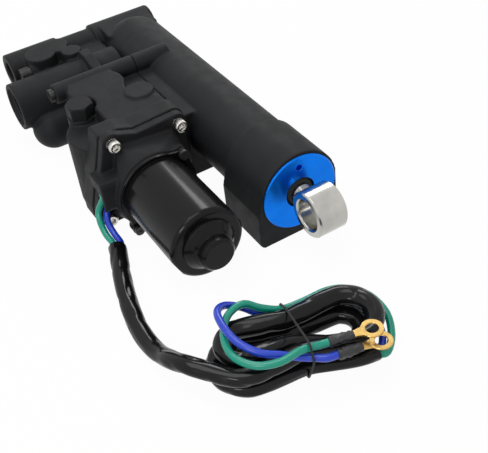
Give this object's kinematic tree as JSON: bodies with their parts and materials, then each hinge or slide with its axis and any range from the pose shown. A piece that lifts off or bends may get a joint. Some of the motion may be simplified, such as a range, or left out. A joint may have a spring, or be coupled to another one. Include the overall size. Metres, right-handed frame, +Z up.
{
  "type": "power trim and tilt unit",
  "caption": "Power trim and tilt unit: a tilt cylinder with a blue end screw and rod eye beside a gear pump and its motor, with coiled power leads.",
  "frame": {"origin": "middle of the lower pivot bore", "axes": "+X along the tilt rod to its eye, +Y along the lower pivot, away from the motor, +Z up"},
  "size_m": [0.4647, 0.1906, 0.0805],
  "materials": {
    "casting": "satin black paint on cast aluminium",
    "can": "glossy black paint on drawn steel",
    "blue_cap": "bright blue anodised aluminium",
    "stainless": "polished stainless steel",
    "steel": "ground steel",
    "black_rubber": "black rubber",
    "sleeve": "glossy black flexible sleeve",
    "green_wire": "green cable insulation",
    "blue_wire": "blue cable insulation",
    "brass": "bright brass",
    "copper": "enamelled copper",
    "resin": "brown laminate board",
    "magnet": "dark ferrite",
    "black_steel": "black oxide steel"
  },
  "bodies": {
    "casing": {"cylinder_body": "casting", "end_screw": "blue_cap", "end_screw_o_ring": "black_rubber", "rod_wiper": "black_rubber", "rod_seal": "black_rubber", "pump_body": "casting", "fill_plug": "casting", "fill_plug_o_ring": "black_rubber", "gallery_plug": "black_steel", "transfer_o_ring": "black_rubber", "pump_bolts": "black_steel", "gear_pump_body": "stainless", "gear_pump_cover": "stainless", "pump_screws": "steel", "filter_screen": "brass", "spool_plug": "steel", "check_plugs": "steel", "motor_housing": "casting", "shaft_seal": "black_rubber", "rear_bearing": "stainless", "brush_plate": "resin", "brushes": "magnet", "brush_springs": "stainless", "motor_magnets": "magnet", "motor_can": "can", "front_bearing": "stainless", "can_seal": "black_rubber", "can_screws": "black_steel", "flange_screws": "stainless", "flange_lock_washers": "stainless", "cable_grommet": "black_rubber", "lead_green": "green_wire", "lead_blue": "blue_wire", "harness_sleeve": "sleeve", "harness_hank": "sleeve", "tail_green": "green_wire", "tail_blue": "blue_wire", "terminal_boots": "black_rubber", "ring_terminals": "brass", "hank_tie": "sleeve"},
    "rod_seals": {"piston_ring": "black_rubber"},
    "rod": {"tilt_rod": "steel", "rod_eye": "stainless", "piston": "steel", "piston_nut": "steel", "shock_valve_balls": "stainless"},
    "free_piston": {"free_piston": "steel", "free_piston_o_ring": "black_rubber"},
    "rotor": {"armature_shaft": "steel", "armature_core": "steel", "armature_windings": "copper", "commutator": "copper", "shaft_coupler": "steel", "drive_gear": "steel"},
    "driven_gear": {"driven_gear": "steel"},
    "spool": {"shuttle_spool": "steel"},
    "up_check": {"up_check_valve": "stainless"},
    "down_check": {"down_check_valve": "stainless"},
    "manual_seal": {"manual_valve_o_ring": "black_rubber"},
    "manual_valve": {"manual_valve": "black_steel"}
  },
  "joints": [
    {"name": "rod_slide", "type": "slide", "parent": "casing", "child": "rod_seals", "axis": [1, 0, 0], "range_m": [0, 0.16]},
    {"name": "rod_turn", "type": "hinge", "parent": "rod_seals", "child": "rod", "pos_m": [0.2, 0.0445, -0.008], "axis": [1, 0, 0], "continuous": true},
    {"name": "free_piston_slide", "type": "slide", "parent": "casing", "child": "free_piston", "axis": [1, 0, 0], "range_m": [0, 0.16]},
    {"name": "armature_spin", "type": "hinge", "parent": "casing", "child": "rotor", "pos_m": [0.2, -0.0345, -0.017], "axis": [1, 0, 0], "continuous": true},
    {"name": "driven_gear_spin", "type": "hinge", "parent": "casing", "child": "driven_gear", "pos_m": [0.14, -0.0207, -0.017], "axis": [1, 0, 0], "continuous": true},
    {"name": "spool_shift", "type": "slide", "parent": "casing", "child": "spool", "axis": [0, 0, 1], "range_m": [-0.002, 0.002]},
    {"name": "up_check_lift", "type": "slide", "parent": "casing", "child": "up_check", "axis": [0, 0, 1], "range_m": [0, 0.0012]},
    {"name": "down_check_lift", "type": "slide", "parent": "casing", "child": "down_check", "axis": [0, 0, 1], "range_m": [0, 0.0012]},
    {"name": "manual_valve_turn", "type": "hinge", "parent": "manual_seal", "child": "manual_valve", "pos_m": [0.023, -0.06, 0.006], "axis": [0, 1, 0], "range_deg": [-1080, 0]},
    {"name": "manual_valve_travel", "type": "slide", "parent": "casing", "child": "manual_seal", "axis": [0, -1, 0], "range_m": [0, 0.003]}
  ],
  "couplings": [
    {"joint": "free_piston_slide", "follows": "rod_slide", "ratio": 1},
    {"joint": "driven_gear_spin", "follows": "armature_spin", "ratio": -1},
    {"joint": "manual_valve_travel", "follows": "manual_valve_turn", "m_per_rad": -0.000159}
  ]
}
